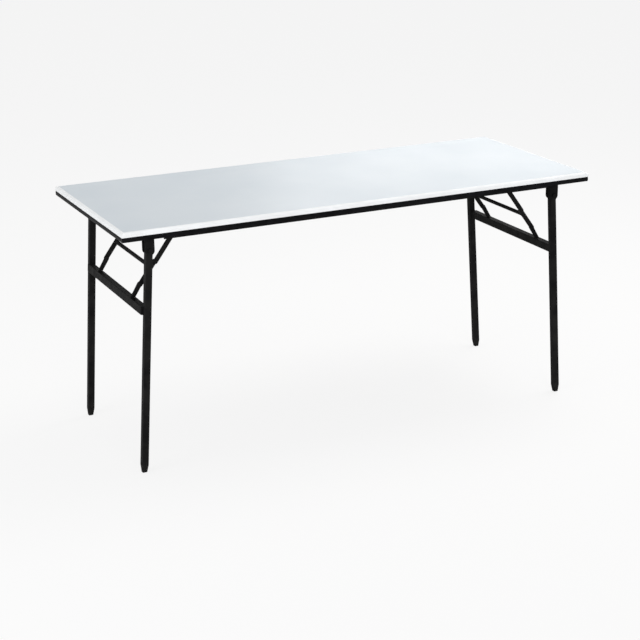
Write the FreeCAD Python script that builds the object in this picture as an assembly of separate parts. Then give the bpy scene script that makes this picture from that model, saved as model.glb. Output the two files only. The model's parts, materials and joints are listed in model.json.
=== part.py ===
import FreeCAD, Part
import math
import os

# Banquet table with a laminate top on two folding steel leg frames.
# Millimetres, +Z up. The origin is on the floor under the middle of the top,
# +X runs along the length to the right and +Y runs to the back.
# Each frame turns inward about a bolt at the top of each leg. A two-link brace is straight
# while the frame stands, which stops it from opening further, and folds on itself with the frame.

# Table top
table_length = 1524.0
table_width = 610.0
table_height = 736.0
decor_thickness = 1.0
core_thickness = 26.0
backing_thickness = 1.0
nosing_height = 14.0
nosing_radius = 8.0
band_thickness = 3.0
band_crown = 1.0
tongue_depth = 9.0
tongue_thickness = 2.4

# Side rails under the long edges
rail_edge_inset = 10.0
rail_flange = 18.0
rail_drop = 11.5
rail_thickness = 2.0
rail_end_gap = 8.0
rail_screw_count = 5
rail_screw_end_margin = 40.0

# Leg tubes: the folded frames lie end to end, or the left one nests between the right one's legs
leg_width = 20.0
leg_wall = 1.5
leg_corner_radius = 2.5
leg_end_inset = 94.4
leg_edge_inset = 57.0
leg_top_reach = 30.0
nest_gap = 4.0
splay_deg = 3.68

# Feet
foot_height = 32.0
foot_collar = 9.0
foot_tip_width = 14.0
foot_plug_length = 25.0

# Leg hinges
hinge_drop = 45.0
hinge_thickness = 2.5
hinge_base_length = 56.0
hinge_ear_length = 28.0
hinge_side_gap = 0.4
bolt_radius = 4.0
bolt_head_across = 13.0
bolt_head_height = 5.0
bolt_tail = 2.0
nut_height = 6.5
bush_wall = 2.0
bush_proud = 0.2

# Crossbar between the legs, proud of their outer faces
crossbar_drop = 166.2
crossbar_height = 25.0
crossbar_depth = 20.0
crossbar_proud = 6.0
crossbar_wall = 1.5
crossbar_corner_radius = 1.5

# Brace links
brace_offset = 157.2
brace_lean_deg = 36.3
link_width = 14.0
link_thickness = 4.0
link_side_gap = 0.4
fold_clearance = 2.0
tie_bar_radius = 6.0
tie_bar_share = 0.745

# Lugs on the crossbar
lug_height = 38.9
lug_thickness = 4.0
lug_base_width = 14.0

# Brackets of the upper links
link_plate_thickness = 2.0
link_ear_thickness = 3.0
link_ear_length = 16.0
link_base_length = 24.0
link_base_flange = 15.0

# Rivets of the brace
pin_radius = 4.0
rivet_head_radius = 6.5
rivet_head_height = 2.0
rivet_head_rounding = 1.2

# Wood screws
screw_radius = 2.0
screw_length = 18.0
screw_head_radius = 4.0
screw_head_height = 2.2
screw_head_rounding = 1.4
screw_hole_gap = 0.2
recess_span = 4.4
recess_width = 1.0
recess_depth = 1.1

# Fits and cuts
running_gap = 0.05
overrun = 5.0

# Levels of the top
top_thickness = decor_thickness + core_thickness + backing_thickness
underside_z = table_height - top_thickness
core_top_z = table_height - decor_thickness
core_bottom_z = underside_z + backing_thickness
band_top_z = table_height - nosing_height
band_middle_z = (band_top_z + underside_z) / 2

# Rails and legs across the width
rail_inner_y = table_width / 2 - rail_edge_inset - rail_flange
leg_half = leg_width / 2

# Leg pivot
leg_pivot_x = table_length / 2 - leg_end_inset
leg_pivot_z = underside_z - hinge_drop
splay = math.radians(splay_deg)
leg_reach = leg_pivot_z / math.cos(splay)

# The frames are alike while their folded feet stay apart at the middle
folded_reach = leg_reach + foot_tip_width / 2 * math.sin(splay) + nest_gap / 2
nest_shift = leg_width + nest_gap if folded_reach > leg_pivot_x else 0
right_leg_offset = table_width / 2 - leg_edge_inset
left_leg_offset = right_leg_offset - nest_shift

# Folded links lie over the folded crossbar
crossbar_outer = leg_half + crossbar_proud
crossbar_inner = crossbar_depth - crossbar_outer
link_half = link_width / 2
brace_pin_inset = crossbar_inner + fold_clearance + link_half
bush_radius = bolt_radius + running_gap + bush_wall
hinge_inner = leg_half + hinge_side_gap
hinge_outer = hinge_inner + hinge_thickness
rail_half_length = leg_pivot_x - hinge_base_length / 2 - rail_end_gap

# Brace pivots on the right side: the lower one on the lug, the upper one in its bracket.
# Both lie at one height when the frame is folded, which sets the lengths of the two links.
brace_lean = math.radians(brace_lean_deg)
brace_pin_drop = crossbar_drop - lug_height
lower_pin_x = leg_pivot_x + brace_pin_drop * math.sin(splay) - brace_pin_inset * math.cos(splay)
lower_pin_z = leg_pivot_z - brace_pin_drop * math.cos(splay) - brace_pin_inset * math.sin(splay)
upper_pin_z = leg_pivot_z + brace_pin_inset
upper_pin_x = lower_pin_x - (upper_pin_z - lower_pin_z) * math.tan(brace_lean)
brace_span = (upper_pin_z - lower_pin_z) / math.cos(brace_lean)
folded_span = upper_pin_x - (leg_pivot_x - brace_pin_drop)
lower_link_length = (brace_span - folded_span) / 2
tie_bar_reach = lower_link_length * tie_bar_share

# Layers of the brace across the width, from its outer side inward
knee_spacing = rivet_head_height + link_side_gap + link_side_gap
upper_link_y = (brace_offset - link_thickness / 2, brace_offset + link_thickness / 2)
lower_link_y = (upper_link_y[0] - knee_spacing - link_thickness, upper_link_y[0] - knee_spacing)
lug_y = (lower_link_y[0] - link_side_gap - lug_thickness, lower_link_y[0] - link_side_gap)
outer_ear_y = (upper_link_y[1] + link_side_gap, upper_link_y[1] + link_side_gap + link_ear_thickness)
inner_ear_y = (upper_link_y[0] - link_side_gap - link_ear_thickness, upper_link_y[0] - link_side_gap)

# Screw places on the rails, on each side of the hinge ears and on each flange of the link brackets
rail_screw_y = rail_inner_y + (rail_thickness + rail_flange) / 2
rail_screw_first = rail_screw_end_margin - rail_half_length
rail_screw_step = -2 * rail_screw_first / (rail_screw_count - 1)
rail_screw_xs = [rail_screw_first + rail_screw_step * i for i in range(rail_screw_count)]
hinge_screw_reach = (hinge_ear_length + hinge_base_length) / 4
hinge_screw_xs = (leg_pivot_x - hinge_screw_reach, leg_pivot_x + hinge_screw_reach)
link_screw_ys = (inner_ear_y[0] - link_base_flange / 2, outer_ear_y[1] + link_base_flange / 2)

V = FreeCAD.Vector
ORIGIN = V(0, 0, 0)
X_AXIS = V(1, 0, 0)
Y_AXIS = V(0, 1, 0)
Z_AXIS = V(0, 0, 1)
SIDES = (("left", -1, left_leg_offset), ("right", 1, right_leg_offset))
FACES = (("front", -1), ("back", 1))


def box(x_span, y_span, z_span):
    """Box between two places on each axis."""
    size = [high - low for low, high in (x_span, y_span, z_span)]
    return Part.makeBox(*size, V(x_span[0], y_span[0], z_span[0]))


def span(middle, half):
    """The two ends of a stretch about its middle."""
    return (middle - half, middle + half)


def rod(x, z, radius, y_span):
    """Round bar along Y."""
    return Part.makeCylinder(radius, y_span[1] - y_span[0], V(x, y_span[0], z), Y_AXIS)


def prism(points, run):
    """Closed outline of points, pushed along a vector."""
    wire = Part.makePolygon(points + points[:1])
    return Part.Face(wire).extrude(run)


def fused(shapes):
    """One solid from pieces that touch."""
    return shapes[0].fuse(shapes[1:]).removeSplitter()


def rounded_square(width, radius, z):
    """Wire of a square with round corners, level at z."""
    half = width / 2
    straight = half - radius
    middle = straight + radius * math.sqrt(0.5)
    edges = []
    for turn in range(4):
        side = Part.LineSegment(V(half, -straight, z), V(half, straight, z)).toShape()
        corner = Part.Arc(V(half, straight, z), V(middle, middle, z), V(straight, half, z)).toShape()
        for edge in (side, corner):
            edge.rotate(ORIGIN, Z_AXIS, 90 * turn)
            edges.append(edge)
    return Part.Wire(edges)


def tube_bar(width, radius, z_span):
    """Square bar with round corners, along Z."""
    face = Part.Face(rounded_square(width, radius, z_span[0]))
    return face.extrude(V(0, 0, z_span[1] - z_span[0]))


def round_end_plate(width, z_square, z_round, y_span):
    """Plate along Z that is square at one end and ends in a half circle about the other."""
    half = width / 2
    tip = z_round + math.copysign(half, z_round - z_square)
    low = y_span[0]
    corners = [V(half, low, z_round), V(half, low, z_square),
               V(-half, low, z_square), V(-half, low, z_round)]
    edges = [Part.LineSegment(a, b).toShape() for a, b in zip(corners, corners[1:])]
    edges.append(Part.Arc(corners[-1], V(0, low, tip), corners[0]).toShape())
    return Part.Face(Part.Wire(edges)).extrude(V(0, y_span[1] - low, 0))


def flat_link(z_span, y_span):
    """Flat link along Z with a round end about each pivot."""
    middle = (z_span[0] + z_span[1]) / 2
    ends = [round_end_plate(link_width, middle, z, y_span) for z in z_span]
    return fused(ends)


def round_head(x, z, y_seat, toward):
    """Low domed rivet head that stands on a face at y_seat."""
    head = Part.makeCylinder(rivet_head_radius, rivet_head_height)
    rim = [edge for edge in head.Edges if edge.BoundBox.ZMin > rivet_head_height / 2]
    head = head.makeFillet(rivet_head_rounding, rim)
    head.rotate(ORIGIN, X_AXIS, -90 * toward)
    head.translate(V(x, y_seat, z))
    return head


def hexagon(across, height):
    """Hexagonal prism on Z."""
    corner = across / math.sqrt(3)
    angles = [math.radians(60 * turn) for turn in range(6)]
    return prism([V(corner * math.cos(a), corner * math.sin(a), 0) for a in angles], V(0, 0, height))


def to_leg(shape):
    """From a leg's own frame, with its pivot at the origin and the leg down Z, to the right side."""
    placed = shape.copy()
    placed.rotate(ORIGIN, Y_AXIS, -splay_deg)
    placed.translate(V(leg_pivot_x, 0, leg_pivot_z))
    return placed


def to_brace(shape):
    """From the brace's own frame, with its lower pivot at the origin and the brace up Z."""
    placed = shape.copy()
    placed.rotate(ORIGIN, Y_AXIS, -brace_lean_deg)
    placed.translate(V(lower_pin_x, 0, lower_pin_z))
    return placed


def place(shape, side, face):
    """From the right back quarter of the table to any other."""
    if side < 0:
        shape = shape.mirror(ORIGIN, X_AXIS)
    if face < 0:
        shape = shape.mirror(ORIGIN, Y_AXIS)
    return shape


# Screws

def screw(x, y, z_seat):
    """Pan head wood screw, driven up from a plate whose lower face is at z_seat."""
    shank = Part.makeCylinder(screw_radius, screw_length, ORIGIN, Z_AXIS)
    head = Part.makeCylinder(screw_head_radius, screw_head_height, V(0, 0, -screw_head_height))
    rim = [edge for edge in head.Edges if edge.BoundBox.ZMax < -screw_head_height / 2]
    head = head.makeFillet(screw_head_rounding, rim)
    whole = fused([head, shank])
    recess_z = (-screw_head_height - overrun, recess_depth - screw_head_height)
    for long_x in (True, False):
        halves = (recess_span / 2, recess_width / 2)
        half_x, half_y = halves if long_x else halves[::-1]
        whole = whole.cut(box(span(0, half_x), span(0, half_y), recess_z))
    whole.translate(V(x, y, z_seat))
    return whole


def screw_hole(x, y, z_span):
    """Clearance hole for a screw through a plate."""
    return Part.makeCylinder(screw_radius + screw_hole_gap, z_span[1] - z_span[0], V(x, y, z_span[0]))


def shank_hole(x, y, z_seat):
    """The space that a screw's shank takes."""
    return Part.makeCylinder(screw_radius, screw_length, V(x, y, z_seat))


def screw_sets():
    """Name, places and seat height of each group of screws."""
    rails = [(x, face * rail_screw_y) for _, face in FACES for x in rail_screw_xs]
    hinges = [(side * x, face * offset)
              for _, side, offset in SIDES for _, face in FACES for x in hinge_screw_xs]
    links = [(side * upper_pin_x, face * y)
             for _, side, _ in SIDES for _, face in FACES for y in link_screw_ys]
    return (("rail_screws", rails, underside_z - rail_thickness),
            ("hinge_bracket_screws", hinges, underside_z - hinge_thickness),
            ("link_bracket_screws", links, underside_z - link_plate_thickness))


# Table top

def edge_strip(outline, run, reach, depth, turn):
    """Edge profile with mitred ends, made on the back edge and turned to its own edge."""
    strip = Part.Face(outline).extrude(V(run, 0, 0))
    inside = depth + overrun
    corners = [V(-run / 2, reach, 0), V(run / 2, reach, 0),
               V(run / 2 - inside, reach - inside, 0), V(inside - run / 2, reach - inside, 0)]
    strip = strip.common(prism(corners, V(0, 0, table_height)))
    strip.rotate(ORIGIN, Z_AXIS, turn)
    return strip


def nosing_outline(run, reach):
    """Upper edge with an upright face and a rounded top."""
    x = -run / 2
    inner = reach - nosing_radius
    round_z = table_height - nosing_radius
    slant = nosing_radius * math.sqrt(0.5)
    heel = V(x, inner, band_top_z)
    toe = V(x, reach, band_top_z)
    shoulder = V(x, reach, round_z)
    crest = V(x, inner, table_height)
    lower_side = Part.LineSegment(heel, toe)
    face_side = Part.LineSegment(toe, shoulder)
    arc = Part.Arc(shoulder, V(x, inner + slant, round_z + slant), crest)
    inner_side = Part.LineSegment(crest, heel)
    return Part.Wire([edge.toShape() for edge in (lower_side, face_side, arc, inner_side)])


def band_outline(run, reach):
    """Crowned band with a tongue that goes into the core."""
    x = -run / 2
    back = reach - band_thickness
    tip = back - tongue_depth
    shoulder = reach - band_crown
    low = band_middle_z - tongue_thickness / 2
    high = band_middle_z + tongue_thickness / 2
    points = [V(x, shoulder, band_top_z), V(x, back, band_top_z), V(x, back, high), V(x, tip, high),
              V(x, tip, low), V(x, back, low), V(x, back, underside_z), V(x, shoulder, underside_z)]
    edges = [Part.LineSegment(a, b).toShape() for a, b in zip(points, points[1:])]
    edges.append(Part.Arc(points[-1], V(x, reach, band_middle_z), points[0]).toShape())
    return Part.Wire(edges)


def edge_strips():
    """Nosing and band on the four edges, by name."""
    edges = (("front", table_length, table_width / 2, 180), ("back", table_length, table_width / 2, 0),
             ("left", table_width, table_length / 2, 90), ("right", table_width, table_length / 2, -90))
    strips = {}
    for name, run, reach, turn in edges:
        nosing = nosing_outline(run, reach)
        band = band_outline(run, reach)
        strips["edge_nosing_" + name] = edge_strip(nosing, run, reach, nosing_radius, turn)
        strips["edge_band_" + name] = edge_strip(band, run, reach, band_thickness + tongue_depth, turn)
    return strips


def layer(inset, z_span):
    """Sheet of the top, set in from its edges."""
    return box(span(0, table_length / 2 - inset), span(0, table_width / 2 - inset), z_span)


def top_pieces():
    """Core, laminates and edges of the top."""
    pieces = edge_strips()
    holes = [shank_hole(x, y, z) for _, places, z in screw_sets() for x, y in places]
    bands = [piece for name, piece in pieces.items() if name.startswith("edge_band")]
    lower_core = layer(band_thickness, (core_bottom_z, band_top_z))
    upper_core = layer(nosing_radius, (band_top_z, core_top_z))
    pieces["core_board"] = fused([lower_core, upper_core]).cut(bands + holes)
    pieces["decor_laminate"] = layer(nosing_radius, (core_top_z, table_height))
    pieces["backing_laminate"] = layer(band_thickness, (underside_z, core_bottom_z)).cut(holes)
    return pieces


def side_rail(face):
    """Angle under one long edge, with its upright flange on the inner side."""
    x = -rail_half_length
    flange_z = underside_z - rail_thickness
    web_y = rail_inner_y + rail_thickness
    lip_y = rail_inner_y + rail_flange
    foot_z = underside_z - rail_drop
    points = [V(x, rail_inner_y, underside_z), V(x, lip_y, underside_z), V(x, lip_y, flange_z),
              V(x, web_y, flange_z), V(x, web_y, foot_z), V(x, rail_inner_y, foot_z)]
    rail = prism(points, V(2 * rail_half_length, 0, 0))
    rail = rail.cut([screw_hole(x, rail_screw_y, (flange_z, underside_z)) for x in rail_screw_xs])
    return place(rail, 1, face)


def hinge_bracket(offset):
    """Channel with two ears that hold a leg's pivot bolt, on the right back leg."""
    base_z = underside_z - hinge_thickness
    base = box(span(0, hinge_base_length / 2), span(offset, hinge_outer), (base_z, underside_z))
    ear_spans = ((offset - hinge_outer, offset - hinge_inner), (offset + hinge_inner, offset + hinge_outer))
    ears = [round_end_plate(hinge_ear_length, base_z, leg_pivot_z, ear) for ear in ear_spans]
    bracket = fused([base] + ears)
    bracket = bracket.cut(rod(0, leg_pivot_z, bolt_radius, span(offset, hinge_outer + overrun)))
    bracket.translate(V(leg_pivot_x, 0, 0))
    return bracket.cut([screw_hole(x, offset, (base_z, underside_z)) for x in hinge_screw_xs])


def link_bracket():
    """Plate with two ears that hold the pin of an upper link."""
    plate_z = underside_z - link_plate_thickness
    plate_y = (inner_ear_y[0] - link_base_flange, outer_ear_y[1] + link_base_flange)
    plate = box(span(0, link_base_length / 2), plate_y, (plate_z, underside_z))
    ear_spans = (inner_ear_y, outer_ear_y)
    ears = [round_end_plate(link_ear_length, plate_z, upper_pin_z, ear) for ear in ear_spans]
    bracket = fused([plate] + ears).cut(rod(0, upper_pin_z, pin_radius, plate_y))
    bracket.translate(V(upper_pin_x, 0, 0))
    return bracket.cut([screw_hole(upper_pin_x, y, (plate_z, underside_z)) for y in link_screw_ys])


def pivot_bolt(offset):
    """Bolt through a leg hinge, with its head on the outer side."""
    tail_y = offset - hinge_outer - nut_height - bolt_tail
    shank = rod(0, 0, bolt_radius, (tail_y, offset + hinge_outer))
    head = hexagon(bolt_head_across, bolt_head_height)
    head.rotate(ORIGIN, X_AXIS, -90)
    head.translate(V(0, offset + hinge_outer, 0))
    bolt = fused([shank, head])
    bolt.translate(V(leg_pivot_x, 0, leg_pivot_z))
    return bolt


def pivot_nut(offset):
    """Nut on the inner side of a leg hinge."""
    nut = hexagon(bolt_head_across, nut_height)
    nut = nut.cut(Part.makeCylinder(bolt_radius, nut_height))
    nut.rotate(ORIGIN, X_AXIS, 90)
    nut.translate(V(leg_pivot_x, offset - hinge_outer, leg_pivot_z))
    return nut


def bracket_rivet():
    """Pin of an upper link, riveted over both ears of its bracket."""
    shank = rod(0, 0, pin_radius, (inner_ear_y[0], outer_ear_y[1]))
    heads = [round_head(0, 0, inner_ear_y[0], -1), round_head(0, 0, outer_ear_y[1], 1)]
    rivet = fused([shank] + heads)
    rivet.translate(V(upper_pin_x, 0, upper_pin_z))
    return rivet


# Leg frames

def leg_tube(offset):
    """Square tube from above its pivot down to the foot, drilled for the pivot bush."""
    z_span = (foot_height - leg_reach, leg_top_reach)
    tube = tube_bar(leg_width, leg_corner_radius, z_span)
    tube = tube.cut(tube_bar(leg_width - 2 * leg_wall, leg_corner_radius - leg_wall, z_span))
    tube = tube.cut(rod(0, 0, bush_radius, span(0, leg_width)))
    tube.translate(V(0, offset, 0))
    return to_leg(tube)


def foot(offset):
    """Foot with a plug in the tube, tapered to a tip that lies level on the floor."""
    collar_top = foot_height - leg_reach
    collar_low = collar_top - foot_collar
    tip = rounded_square(foot_tip_width, leg_corner_radius, 0)
    tip.rotate(ORIGIN, Y_AXIS, splay_deg)
    tip.translate(V(0, 0, -leg_reach))
    taper = Part.makeLoft([rounded_square(leg_width, leg_corner_radius, collar_low), tip], True, True)
    collar = tube_bar(leg_width, leg_corner_radius, (collar_low, collar_top))
    plug_z = (collar_top, collar_top + foot_plug_length)
    plug = tube_bar(leg_width - 2 * leg_wall, leg_corner_radius - leg_wall, plug_z)
    whole = fused([taper, collar, plug])
    whole.translate(V(0, offset, 0))
    return to_leg(whole)


def pivot_bush(offset):
    """Sleeve across a leg tube that turns on the pivot bolt."""
    y_span = span(offset, leg_half + bush_proud)
    sleeve = rod(0, 0, bush_radius, y_span).cut(rod(0, 0, bolt_radius + running_gap, y_span))
    return to_leg(sleeve)


def crossbar(offset):
    """Rectangular tube between the legs, with round corners along its length."""
    z_span = (-crossbar_drop - crossbar_height, -crossbar_drop)
    y_span = span(0, offset - leg_half)
    bar = box((-crossbar_inner, crossbar_outer), y_span, z_span)
    long_edges = [edge for edge in bar.Edges if edge.BoundBox.YLength > crossbar_height]
    bar = bar.makeFillet(crossbar_corner_radius, long_edges)
    hollow_z = (z_span[0] + crossbar_wall, z_span[1] - crossbar_wall)
    hollow_x = (crossbar_wall - crossbar_inner, crossbar_outer - crossbar_wall)
    return to_leg(bar.cut(box(hollow_x, y_span, hollow_z)))


def brace_lug():
    """Slanted plate at the outer edge of the crossbar's top that carries a lower link."""
    base_half = V(lug_base_width / 2, 0, 0)
    base = V(crossbar_outer - crossbar_corner_radius, lug_y[0], -crossbar_drop) - base_half
    eye = V(-brace_pin_inset, lug_y[0], -brace_pin_drop)
    along = (eye - base).normalize()
    across = V(along.z, 0, -along.x) * link_half
    plate = prism([base - base_half, base + base_half, eye + across, eye - across], V(0, lug_thickness, 0))
    lug = fused([plate, rod(eye.x, eye.z, link_half, lug_y)])
    return to_leg(lug.cut(rod(eye.x, eye.z, pin_radius, lug_y)))


def lug_rivet():
    """Rivet fixed in a lug, on which the lower link turns."""
    seat_y = lower_link_y[1] + link_side_gap
    shank = rod(0, 0, pin_radius, (lug_y[0], seat_y))
    rivet = fused([shank, round_head(0, 0, lug_y[0], -1), round_head(0, 0, seat_y, 1)])
    rivet.translate(V(lower_pin_x, 0, lower_pin_z))
    return rivet


# Brace links

def lower_link():
    """Link from the lug up to the knee."""
    link = flat_link((0, lower_link_length), lower_link_y)
    holes = [rod(0, 0, pin_radius + running_gap, lower_link_y),
             rod(0, lower_link_length, pin_radius, lower_link_y)]
    return to_brace(link.cut(holes))


def upper_link():
    """Link from the knee up to its bracket."""
    link = flat_link((lower_link_length, brace_span), upper_link_y)
    holes = [rod(0, lower_link_length, pin_radius, upper_link_y),
             rod(0, brace_span, pin_radius + running_gap, upper_link_y)]
    return to_brace(link.cut(holes))


def lower_knee_rivet():
    """The knee rivet's inner part, in the lower link."""
    shank = rod(0, lower_link_length, pin_radius, lower_link_y)
    return to_brace(fused([shank, round_head(0, lower_link_length, lower_link_y[0], -1)]))


def upper_knee_rivet():
    """The knee rivet's outer part, in the upper link."""
    shank = rod(0, lower_link_length, pin_radius, upper_link_y)
    return to_brace(fused([shank, round_head(0, lower_link_length, upper_link_y[1], 1)]))


def knee_washer():
    """Spacer between the two links at the knee."""
    y_span = (lower_link_y[1], upper_link_y[0] - link_side_gap)
    return to_brace(rod(0, lower_link_length, rivet_head_radius, y_span))


def tie_bar():
    """Round bar between the two lower links of a frame."""
    return to_brace(rod(0, tie_bar_reach, tie_bar_radius, span(0, lower_link_y[0])))


def both_faces(shape, side):
    """Front and back copies of a piece as one group."""
    return Part.makeCompound([place(shape, side, face) for _, face in FACES])


def frame_pieces(name, side, offset):
    """Nodes of one leg frame and its brace."""
    pieces = {}
    for face_name, face in FACES:
        tail = name + "_" + face_name
        pieces["hinge_bracket_" + tail] = place(hinge_bracket(offset), side, face)
        pieces["link_bracket_" + tail] = place(link_bracket(), side, face)
        pieces["leg_" + tail] = place(leg_tube(offset), side, face)
        pieces["foot_" + tail] = place(foot(offset), side, face)
        pieces["lower_link_" + tail] = place(lower_link(), side, face)
        pieces["upper_link_" + tail] = place(upper_link(), side, face)
    pieces["crossbar_" + name] = place(crossbar(offset), side, 1)
    pieces["tie_bar_" + name] = place(tie_bar(), side, 1)
    groups = (("pivot_bushes_", pivot_bush(offset)), ("brace_lugs_", brace_lug()),
              ("lug_rivets_", lug_rivet()), ("knee_washers_", knee_washer()),
              ("lower_knee_rivets_", lower_knee_rivet()), ("upper_knee_rivets_", upper_knee_rivet()))
    for group, shape in groups:
        pieces[group + name] = both_faces(shape, side)
    return pieces


def fastener_groups():
    """Screws, bolts, nuts and bracket rivets as groups of separate solids."""
    groups = {}
    for name, places, z in screw_sets():
        groups[name] = Part.makeCompound([screw(x, y, z) for x, y in places])
    bolts = [both_faces(pivot_bolt(offset), side) for _, side, offset in SIDES]
    nuts = [both_faces(pivot_nut(offset), side) for _, side, offset in SIDES]
    rivets = [both_faces(bracket_rivet(), side) for _, side, _ in SIDES]
    groups["leg_pivot_bolts"] = Part.makeCompound(bolts)
    groups["leg_pivot_nuts"] = Part.makeCompound(nuts)
    groups["link_bracket_rivets"] = Part.makeCompound(rivets)
    return groups


nodes = top_pieces()
for face_name, face in FACES:
    nodes["side_rail_" + face_name] = side_rail(face)
for side_name, side, offset in SIDES:
    nodes.update(frame_pieces(side_name, side, offset))
nodes.update(fastener_groups())

os.makedirs("parts", exist_ok=True)
for node_name, shape in nodes.items():
    shape.exportStep("parts/" + node_name + ".step")
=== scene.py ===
import json
import math

import bmesh
import bpy
from mathutils import Matrix, Vector

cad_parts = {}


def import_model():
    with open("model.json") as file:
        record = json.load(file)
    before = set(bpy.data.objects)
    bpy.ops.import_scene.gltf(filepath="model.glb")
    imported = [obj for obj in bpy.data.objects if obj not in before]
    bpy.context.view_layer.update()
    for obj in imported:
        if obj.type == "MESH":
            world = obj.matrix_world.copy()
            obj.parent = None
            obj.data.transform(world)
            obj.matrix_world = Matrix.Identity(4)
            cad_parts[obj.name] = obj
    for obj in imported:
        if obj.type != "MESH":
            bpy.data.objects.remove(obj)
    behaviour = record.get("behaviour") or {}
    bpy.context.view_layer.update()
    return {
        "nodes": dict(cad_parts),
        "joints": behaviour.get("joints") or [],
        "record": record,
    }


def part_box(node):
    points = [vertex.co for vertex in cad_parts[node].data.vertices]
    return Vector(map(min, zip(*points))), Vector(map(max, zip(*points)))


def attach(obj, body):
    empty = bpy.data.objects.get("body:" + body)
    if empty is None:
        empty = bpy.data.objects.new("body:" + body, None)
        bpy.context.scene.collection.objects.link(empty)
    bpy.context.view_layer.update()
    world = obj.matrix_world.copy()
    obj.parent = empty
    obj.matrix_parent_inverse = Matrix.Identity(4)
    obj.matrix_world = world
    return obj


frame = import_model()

# The looks of a folding banquet table: finishes for its solids, weld beads, floor, lights and camera.
# Lengths are metres, angles are degrees and powers are watts. The lens and its sensor are in millimetres.

# Camera
CAMERA_PLACE = Vector((-2.0866, -4.2786, 1.8831))
CAMERA_AZIMUTH = -25.776
CAMERA_ELEVATION = 18.616
CAMERA_ROLL = -0.537
CAMERA_LENS = 89.36
CAMERA_SENSOR = 36.0

# Floor and surrounding light
WHITE = (1.0, 1.0, 1.0, 1.0)
FLOOR_SIZE = 80.0
FLOOR_PALE = (0.88, 0.88, 0.885, 1.0)
FLOOR_GLOW_SHARE = 0.82
WORLD_LIGHT = 0.5

# Lamps: name, place, target, size, power, tint, and whether the lamp only shows as gloss
LAMPS = (
    ("key", (1.6, 0.3, 3.0), (0.6, 0.0, 0.73), 1.6, 41.0, (1.0, 0.975, 0.945), False),
    ("back_sheen", (2.8, 3.6, 1.75), (0.4, 0.0, 0.73), 2.6, 19.0, (1.0, 0.98, 0.96), True),
    ("left_fill", (-4.2, -1.0, 1.5), (-0.6, 0.0, 0.5), 2.4, 56.0, (1.0, 1.0, 1.0), False),
    ("front_fill", (-3.15, -20.5, 5.17), (0.0, -0.3, 0.7), 10.2, 1860.0, (1.0, 1.0, 1.0), False),
)

# Colours, linear
LAMINATE_DEEP = (0.545, 0.605, 0.655, 1.0)
LAMINATE_PALE = (0.575, 0.63, 0.675, 1.0)
NOSING_PALE = (0.85, 0.87, 0.885, 1.0)
NOSING_SOILED = (0.79, 0.805, 0.815, 1.0)
BAND_BLACK = (0.0035, 0.0035, 0.004, 1.0)
BAND_GREY = (0.007, 0.007, 0.008, 1.0)
PAINT_BLACK = (0.0075, 0.0074, 0.0077, 1.0)
PAINT_DUSTY = (0.0145, 0.0142, 0.0138, 1.0)
FOOT_BLACK = (0.008, 0.008, 0.008, 1.0)
FOOT_SCUFFED = (0.019, 0.0185, 0.018, 1.0)
ZINC_BRIGHT = (0.62, 0.63, 0.65, 1.0)
ZINC_DULL = (0.46, 0.46, 0.45, 1.0)
BOARD_PALE = (0.60, 0.42, 0.24, 1.0)
BOARD_DARK = (0.36, 0.22, 0.11, 1.0)
BACKING_BROWN = (0.060, 0.043, 0.032, 1.0)
BACKING_DARK = (0.038, 0.028, 0.022, 1.0)

# Strength of the mirrored light
PAINT_SHINE = 0.015
BAND_SHINE = 0.03

# Noise layers: scale, detail, and stretch on each axis
EVEN = (1.0, 1.0, 1.0)
LAMINATE_CLOUDS = (3.5, 3.0, EVEN)
LAMINATE_SMUDGES = (6.0, 3.0, EVEN)
LAMINATE_PEBBLE = (1400.0, 1.0, EVEN)
NOSING_SOIL = (14.0, 5.0, EVEN)
NOSING_WEAR = (60.0, 3.0, EVEN)
NOSING_GRAIN = (500.0, 2.0, EVEN)
BAND_MOTTLE = (40.0, 4.0, EVEN)
BAND_STREAKS = (1.0, 3.0, (3.0, 3.0, 900.0))
PAINT_DUST = (25.0, 5.0, EVEN)
PAINT_WEAR = (45.0, 4.0, EVEN)
PAINT_PEEL = (750.0, 2.0, EVEN)
FOOT_SCUFFS = (180.0, 4.0, EVEN)
FOOT_WEAR = (120.0, 3.0, EVEN)
FOOT_GRAIN = (900.0, 2.0, EVEN)
ZINC_SPANGLE = (300.0, 3.0, EVEN)
ZINC_HAZE = (400.0, 3.0, EVEN)
ZINC_GRAIN = (1500.0, 2.0, EVEN)
BOARD_GRAIN = (6.0, 6.0, (1.0, 14.0, 14.0))
BACKING_FIBRE = (30.0, 6.0, (1.0, 3.0, 1.0))
BACKING_WEAR = (50.0, 4.0, EVEN)
BACKING_GRAIN = (600.0, 3.0, EVEN)

# Levels of a noise layer between which the tone or the roughness changes
TONE_LEVELS = (0.35, 0.65)
ROUGHNESS_LEVELS = (0.3, 0.7)

# Least and most roughness
LAMINATE_ROUGHNESS = (0.32, 0.38)
NOSING_ROUGHNESS = (0.30, 0.42)
BAND_ROUGHNESS = (0.38, 0.52)
FRAME_ROUGHNESS = (0.42, 0.55)
RIVET_ROUGHNESS = (0.30, 0.42)
BOLT_ROUGHNESS = (0.28, 0.40)
FOOT_ROUGHNESS = (0.50, 0.75)
ZINC_ROUGHNESS = (0.25, 0.45)
BOARD_ROUGHNESS = (0.60, 0.80)
BACKING_ROUGHNESS = (0.55, 0.72)

# Height and strength of the relief
LAMINATE_RELIEF = (0.0001, 0.1)
NOSING_RELIEF = (0.0001, 0.2)
BAND_RELIEF = (0.00015, 0.3)
PAINT_RELIEF = (0.0003, 0.35)
FOOT_RELIEF = (0.0002, 0.4)
ZINC_RELIEF = (0.00008, 0.3)
BOARD_RELIEF = (0.0004, 0.4)
BACKING_RELIEF = (0.0002, 0.3)

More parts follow.
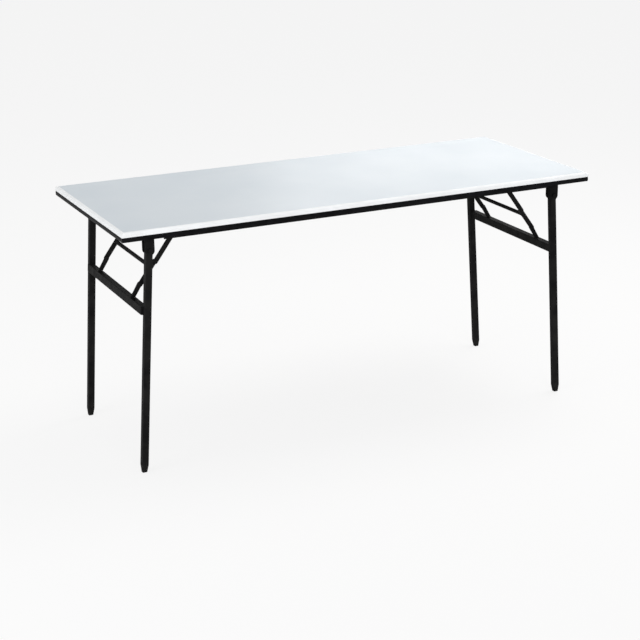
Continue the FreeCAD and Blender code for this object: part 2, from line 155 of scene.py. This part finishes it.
# Weld beads
BEAD_RADIUS = 0.0021
ROUND_BEAD_RADIUS = 0.0014
BEAD_RIPPLE = 0.0035
BEAD_RIPPLE_SHARE = 0.12
BEAD_STEP = 0.0009
BEAD_LEAST_STEPS = 6
BEAD_SIDES = 10
BEAD_END_SHARE = 0.02
BEAD_END_POWER = 8
FILL_SHARES = (0.0, 0.35, 0.7)

# Ends of the table with their directions along X, and its faces with theirs along Y
SIDES = {"left": -1, "right": 1}
FACES = {"front": -1, "back": 1}

# Axes, angles and joints
X_AXIS, Y_AXIS, Z_AXIS = range(3)
ALONG_Y = Vector((0, 1, 0))
RIGHT_ANGLE = 90
JOINTS = {joint["name"]: joint for joint in frame["joints"]}


# Materials

class Finish:
    """A node material on object coordinates, built up from noise layers."""

    def __init__(self, name):
        self.material = bpy.data.materials.new(name)
        self.material.use_nodes = True
        self.nodes = self.material.node_tree.nodes
        self.links = self.material.node_tree.links
        self.shader = self.nodes["Principled BSDF"]
        self.place = self.nodes.new("ShaderNodeTexCoord").outputs["Object"]

    def metal(self):
        """Make the surface bare metal."""
        self.shader.inputs["Metallic"].default_value = 1.0

    def shine(self, level):
        """Set the strength of the mirrored light."""
        self.shader.inputs["Specular IOR Level"].default_value = level

    def noise(self, layer):
        """Noise from 0 to 1, with its own scale on each axis."""
        scale, detail, stretch = layer
        mapping = self.nodes.new("ShaderNodeMapping")
        mapping.inputs["Scale"].default_value = stretch
        texture = self.nodes.new("ShaderNodeTexNoise")
        texture.inputs["Scale"].default_value = scale
        texture.inputs["Detail"].default_value = detail
        self.links.new(self.place, mapping.inputs["Vector"])
        self.links.new(mapping.outputs["Vector"], texture.inputs["Vector"])
        return texture.outputs["Fac"]

    def colour(self, value, low_tone, high_tone):
        """Base colour between two tones."""
        ramp = self.nodes.new("ShaderNodeValToRGB")
        low, high = ramp.color_ramp.elements
        low.position, high.position = TONE_LEVELS
        low.color = low_tone
        high.color = high_tone
        self.links.new(value, ramp.inputs["Fac"])
        self.links.new(ramp.outputs["Color"], self.shader.inputs["Base Color"])

    def roughness(self, value, limits):
        """Roughness that varies over the surface between two limits."""
        spread = self.nodes.new("ShaderNodeMapRange")
        spread.inputs["From Min"].default_value, spread.inputs["From Max"].default_value = ROUGHNESS_LEVELS
        spread.inputs["To Min"].default_value, spread.inputs["To Max"].default_value = limits
        self.links.new(value, spread.inputs["Value"])
        self.links.new(spread.outputs["Result"], self.shader.inputs["Roughness"])

    def bump(self, value, relief):
        """Relief from a noise layer, of a real height."""
        bump = self.nodes.new("ShaderNodeBump")
        bump.inputs["Distance"].default_value, bump.inputs["Strength"].default_value = relief
        self.links.new(value, bump.inputs["Height"])
        self.links.new(bump.outputs["Normal"], self.shader.inputs["Normal"])


def laminate():
    """Pale blue-grey laminate with cloudy tone, smudges and a fine pebble."""
    finish = Finish("laminate")
    finish.colour(finish.noise(LAMINATE_CLOUDS), LAMINATE_DEEP, LAMINATE_PALE)
    finish.roughness(finish.noise(LAMINATE_SMUDGES), LAMINATE_ROUGHNESS)
    finish.bump(finish.noise(LAMINATE_PEBBLE), LAMINATE_RELIEF)
    return finish.material


def nosing():
    """Pale satin plastic edge, a little soiled by hands."""
    finish = Finish("nosing")
    finish.colour(finish.noise(NOSING_SOIL), NOSING_SOILED, NOSING_PALE)
    finish.roughness(finish.noise(NOSING_WEAR), NOSING_ROUGHNESS)
    finish.bump(finish.noise(NOSING_GRAIN), NOSING_RELIEF)
    return finish.material


def band():
    """Black extruded band with streaks along its length."""
    finish = Finish("band")
    finish.shine(BAND_SHINE)
    streaks = finish.noise(BAND_STREAKS)
    finish.colour(finish.noise(BAND_MOTTLE), BAND_BLACK, BAND_GREY)
    finish.roughness(streaks, BAND_ROUGHNESS)
    finish.bump(streaks, BAND_RELIEF)
    return finish.material


def painted(name, roughness):
    """Black powder coat with orange peel and a little dust."""
    finish = Finish(name)
    finish.shine(PAINT_SHINE)
    finish.colour(finish.noise(PAINT_DUST), PAINT_BLACK, PAINT_DUSTY)
    finish.roughness(finish.noise(PAINT_WEAR), roughness)
    finish.bump(finish.noise(PAINT_PEEL), PAINT_RELIEF)
    return finish.material


def foot():
    """Moulded black plastic, scuffed in patches."""
    finish = Finish("foot")
    finish.shine(PAINT_SHINE)
    finish.colour(finish.noise(FOOT_SCUFFS), FOOT_BLACK, FOOT_SCUFFED)
    finish.roughness(finish.noise(FOOT_WEAR), FOOT_ROUGHNESS)
    finish.bump(finish.noise(FOOT_GRAIN), FOOT_RELIEF)
    return finish.material


def zinc():
    """Zinc plate with a dull spangle."""
    finish = Finish("zinc")
    finish.metal()
    finish.colour(finish.noise(ZINC_SPANGLE), ZINC_DULL, ZINC_BRIGHT)
    finish.roughness(finish.noise(ZINC_HAZE), ZINC_ROUGHNESS)
    finish.bump(finish.noise(ZINC_GRAIN), ZINC_RELIEF)
    return finish.material


def core():
    """Raw board with its grain along the length."""
    finish = Finish("core")
    grain = finish.noise(BOARD_GRAIN)
    finish.colour(grain, BOARD_DARK, BOARD_PALE)
    finish.roughness(grain, BOARD_ROUGHNESS)
    finish.bump(grain, BOARD_RELIEF)
    return finish.material


def backing():
    """Matte brown backing sheet."""
    finish = Finish("backing")
    finish.colour(finish.noise(BACKING_FIBRE), BACKING_DARK, BACKING_BROWN)
    finish.roughness(finish.noise(BACKING_WEAR), BACKING_ROUGHNESS)
    finish.bump(finish.noise(BACKING_GRAIN), BACKING_RELIEF)
    return finish.material


def dress_solids():
    """Give each solid the finish of its slot in the record."""
    finishes = {
        "laminate": laminate(),
        "nosing": nosing(),
        "band": band(),
        "core": core(),
        "backing": backing(),
        "frame": painted("frame", FRAME_ROUGHNESS),
        "rivet": painted("rivet", RIVET_ROUGHNESS),
        "bolt": painted("bolt", BOLT_ROUGHNESS),
        "foot": foot(),
        "zinc": zinc(),
    }
    for subpart in frame["record"]["subparts"]:
        solid = frame["nodes"][subpart["node"]]
        solid.data.materials.clear()
        solid.data.materials.append(finishes[subpart["material_slot"]])
    return finishes


# Weld beads

def leg_axes(side_name):
    """From a leg frame's own axes, with its pivot at the origin and the legs down Z, to the table's axes."""
    hinge = JOINTS[side_name + "_leg_fold"]
    splay = math.radians(hinge["range_deg"][1] - RIGHT_ANGLE)
    return Matrix.Translation(Vector(hinge["pos_m"])) @ Matrix.Rotation(-SIDES[side_name] * splay, 4, "Y")


def own_points(node, axes, face_name):
    """Vertices of a node on one face of the table, in a leg frame's own axes."""
    inverse = axes.inverted()
    points = [inverse @ vertex.co for vertex in frame["nodes"][node].data.vertices]
    return [point for point in points if point.y * FACES[face_name] > 0]


def reach(points, axis):
    """Lowest and highest place of points along an axis."""
    places = [point[axis] for point in points]
    return min(places), max(places)


def add_ring(mesh, centre, first, second, radius):
    """One ring of a bead's section, between two crosswise directions."""
    ring = []
    for turn in range(BEAD_SIDES):
        angle = 2 * math.pi * turn / BEAD_SIDES
        out = first * math.cos(angle) + second * math.sin(angle)
        ring.append(mesh.verts.new(centre + out * radius))
    return ring


def join_rings(mesh, near, far):
    """Faces between two rings."""
    for turn in range(BEAD_SIDES):
        after = (turn + 1) % BEAD_SIDES
        mesh.faces.new((near[turn], near[after], far[after], far[turn]))


def straight_bead(mesh, start, end):
    """Rippled weld bead along a line, tapered and closed at both ends."""
    along = end - start
    length = along.length
    along.normalize()
    first = along.orthogonal().normalized()
    second = along.cross(first)
    steps = max(BEAD_LEAST_STEPS, int(length / BEAD_STEP))
    rings = []
    for step in range(steps + 1):
        share = step / steps
        taper = math.sqrt(max(BEAD_END_SHARE, 1 - abs(2 * share - 1) ** BEAD_END_POWER))
        ripple = 1 + BEAD_RIPPLE_SHARE * math.sin(2 * math.pi * share * length / BEAD_RIPPLE)
        centre = start + along * (share * length)
        rings.append(add_ring(mesh, centre, first, second, BEAD_RADIUS * taper * ripple))
    for near, far in zip(rings, rings[1:]):
        join_rings(mesh, near, far)
    mesh.faces.new(rings[0][::-1])
    mesh.faces.new(rings[-1])


def round_bead(mesh, centre, radius):
    """Rippled weld bead round a bar that runs along Y."""
    length = 2 * math.pi * radius
    steps = int(length / BEAD_STEP)
    ripples = int(length / BEAD_RIPPLE)
    rings = []
    for step in range(steps):
        angle = 2 * math.pi * step / steps
        out = Vector((math.cos(angle), 0, math.sin(angle)))
        ripple = 1 + BEAD_RIPPLE_SHARE * math.sin(ripples * angle)
        rings.append(add_ring(mesh, centre + out * radius, out, ALONG_Y, ROUND_BEAD_RADIUS * ripple))
    for near, far in zip(rings, rings[1:] + rings[:1]):
        join_rings(mesh, near, far)


def bar_beads(mesh, axes, side_name, face_name):
    """Beads round the end of a crossbar on a leg, and side by side over the part that stands proud of it."""
    bar = own_points("crossbar_" + side_name, axes, face_name)
    leg = own_points("leg_%s_%s" % (side_name, face_name), axes, face_name)
    low_z, high_z = reach(bar, Z_AXIS)
    low_x, high_x = reach(bar, X_AXIS)
    leg_low_x, leg_high_x = reach(leg, X_AXIS)
    y = max(reach(bar, Y_AXIS), key=abs)
    first_x = max(low_x, leg_low_x)
    last_x = min(high_x, leg_high_x)
    for z in (low_z, high_z):
        straight_bead(mesh, axes @ Vector((first_x, y, z)), axes @ Vector((last_x, y, z)))
    if SIDES[side_name] > 0:
        inner_x, corner_x, outer_x = first_x, last_x, high_x
    else:
        inner_x, corner_x, outer_x = last_x, first_x, low_x
    fill_places = [corner_x + (outer_x - corner_x) * share for share in FILL_SHARES]
    for x in [inner_x] + fill_places:
        straight_bead(mesh, axes @ Vector((x, y, low_z)), axes @ Vector((x, y, high_z)))


def lug_beads(mesh, axes, side_name, face_name):
    """Beads along both sides of a lug's base."""
    lug = own_points("brace_lugs_" + side_name, axes, face_name)
    base_z = reach(lug, Z_AXIS)[0]
    base = [point for point in lug if point.z < base_z + BEAD_RADIUS]
    low_x, high_x = reach(base, X_AXIS)
    for y in reach(base, Y_AXIS):
        straight_bead(mesh, axes @ Vector((low_x, y, base_z)), axes @ Vector((high_x, y, base_z)))


def tie_bar_beads(mesh, side_name):
    """Beads round both ends of a tie bar."""
    low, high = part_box("tie_bar_" + side_name)
    middle = (low + high) / 2
    for y in (low.y, high.y):
        round_bead(mesh, Vector((middle.x, y, middle.z)), (high.z - low.z) / 2)


def add_piece(name, mesh, body, material):
    """Finish a mesh as a piece that rides on a body."""
    data = bpy.data.meshes.new(name)
    bmesh.ops.recalc_face_normals(mesh, faces=mesh.faces)
    mesh.to_mesh(data)
    mesh.free()
    for polygon in data.polygons:
        polygon.use_smooth = True
    data.materials.append(material)
    piece = bpy.data.objects.new(name, data)
    bpy.context.scene.collection.objects.link(piece)
    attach(piece, body)


def weld_frames(material):
    """Weld beads of both leg frames and of their lower links."""
    for side_name in SIDES:
        axes = leg_axes(side_name)
        frame_mesh = bmesh.new()
        for face_name in FACES:
            bar_beads(frame_mesh, axes, side_name, face_name)
            lug_beads(frame_mesh, axes, side_name, face_name)
        add_piece("frame_welds_" + side_name, frame_mesh, side_name + "_leg_frame", material)
        bar_mesh = bmesh.new()
        tie_bar_beads(bar_mesh, side_name)
        add_piece("tie_bar_welds_" + side_name, bar_mesh, side_name + "_lower_links", material)


# Floor, lights and camera

def seen_rays(nodes, links):
    """1 for what the camera sees directly, mirrored or through glass, and 0 for light on the object."""
    rays = nodes.new("ShaderNodeLightPath")
    seen = rays.outputs["Is Camera Ray"]
    for kind in ("Is Glossy Ray", "Is Transmission Ray"):
        either = nodes.new("ShaderNodeMath")
        either.operation = "MAXIMUM"
        links.new(seen, either.inputs[0])
        links.new(rays.outputs[kind], either.inputs[1])
        seen = either.outputs[0]
    return seen


def floor():
    """Pale floor that keeps shadows and is close to white where it is seen."""
    material = bpy.data.materials.new("floor")
    material.use_nodes = True
    nodes = material.node_tree.nodes
    links = material.node_tree.links
    nodes.clear()
    diffuse = nodes.new("ShaderNodeBsdfDiffuse")
    diffuse.inputs["Color"].default_value = FLOOR_PALE
    glow = nodes.new("ShaderNodeEmission")
    glow.inputs["Color"].default_value = WHITE
    share = nodes.new("ShaderNodeMath")
    share.operation = "MULTIPLY"
    share.inputs[1].default_value = FLOOR_GLOW_SHARE
    mix = nodes.new("ShaderNodeMixShader")
    output = nodes.new("ShaderNodeOutputMaterial")
    links.new(seen_rays(nodes, links), share.inputs[0])
    links.new(share.outputs[0], mix.inputs["Fac"])
    links.new(diffuse.outputs["BSDF"], mix.inputs[1])
    links.new(glow.outputs["Emission"], mix.inputs[2])
    links.new(mix.outputs["Shader"], output.inputs["Surface"])
    bpy.ops.mesh.primitive_plane_add(size=FLOOR_SIZE)
    plane = bpy.context.object
    plane.name = "floor"
    plane.data.materials.append(material)


def world():
    """Soft even light, white where it is seen."""
    setting = bpy.data.worlds.new("studio")
    bpy.context.scene.world = setting
    setting.use_nodes = True
    nodes = setting.node_tree.nodes
    links = setting.node_tree.links
    nodes.clear()
    light = nodes.new("ShaderNodeBackground")
    light.inputs["Strength"].default_value = WORLD_LIGHT
    backdrop = nodes.new("ShaderNodeBackground")
    mix = nodes.new("ShaderNodeMixShader")
    output = nodes.new("ShaderNodeOutputWorld")
    for background in (light, backdrop):
        background.inputs["Color"].default_value = WHITE
    links.new(seen_rays(nodes, links), mix.inputs["Fac"])
    links.new(light.outputs["Background"], mix.inputs[1])
    links.new(backdrop.outputs["Background"], mix.inputs[2])
    links.new(mix.outputs["Shader"], output.inputs["Surface"])


def lamps():
    """Large soft lamps, each aimed at a point."""
    for name, place, target, size, power, tint, gloss_only in LAMPS:
        light = bpy.data.lights.new(name, "AREA")
        light.shape = "SQUARE"
        light.size = size
        light.energy = power
        light.color = tint
        lamp = bpy.data.objects.new(name, light)
        bpy.context.scene.collection.objects.link(lamp)
        lamp.visible_glossy = gloss_only
        lamp.visible_diffuse = not gloss_only
        lamp.location = place
        lamp.rotation_euler = (Vector(target) - Vector(place)).to_track_quat("-Z", "Y").to_euler()


def camera():
    """Camera at the photograph's place, turn, tilt and roll."""
    azimuth = math.radians(CAMERA_AZIMUTH)
    elevation = math.radians(CAMERA_ELEVATION)
    roll = math.radians(CAMERA_ROLL)
    back = Vector((math.sin(azimuth) * math.cos(elevation), -math.cos(azimuth) * math.cos(elevation),
                   math.sin(elevation)))
    right = Vector((math.cos(azimuth), math.sin(azimuth), 0.0))
    up = back.cross(right)
    rolled_right = right * math.cos(roll) + up * math.sin(roll)
    rolled_up = up * math.cos(roll) - right * math.sin(roll)
    data = bpy.data.cameras.new("camera")
    data.sensor_width = CAMERA_SENSOR
    data.lens = CAMERA_LENS
    viewer = bpy.data.objects.new("camera", data)
    bpy.context.scene.collection.objects.link(viewer)
    turn = Matrix((rolled_right, rolled_up, back)).transposed().to_4x4()
    viewer.matrix_world = Matrix.Translation(CAMERA_PLACE) @ turn
    bpy.context.scene.camera = viewer


finishes = dress_solids()
weld_frames(finishes["frame"])
floor()
world()
lamps()
camera()
bpy.context.scene.view_settings.view_transform = "Standard"
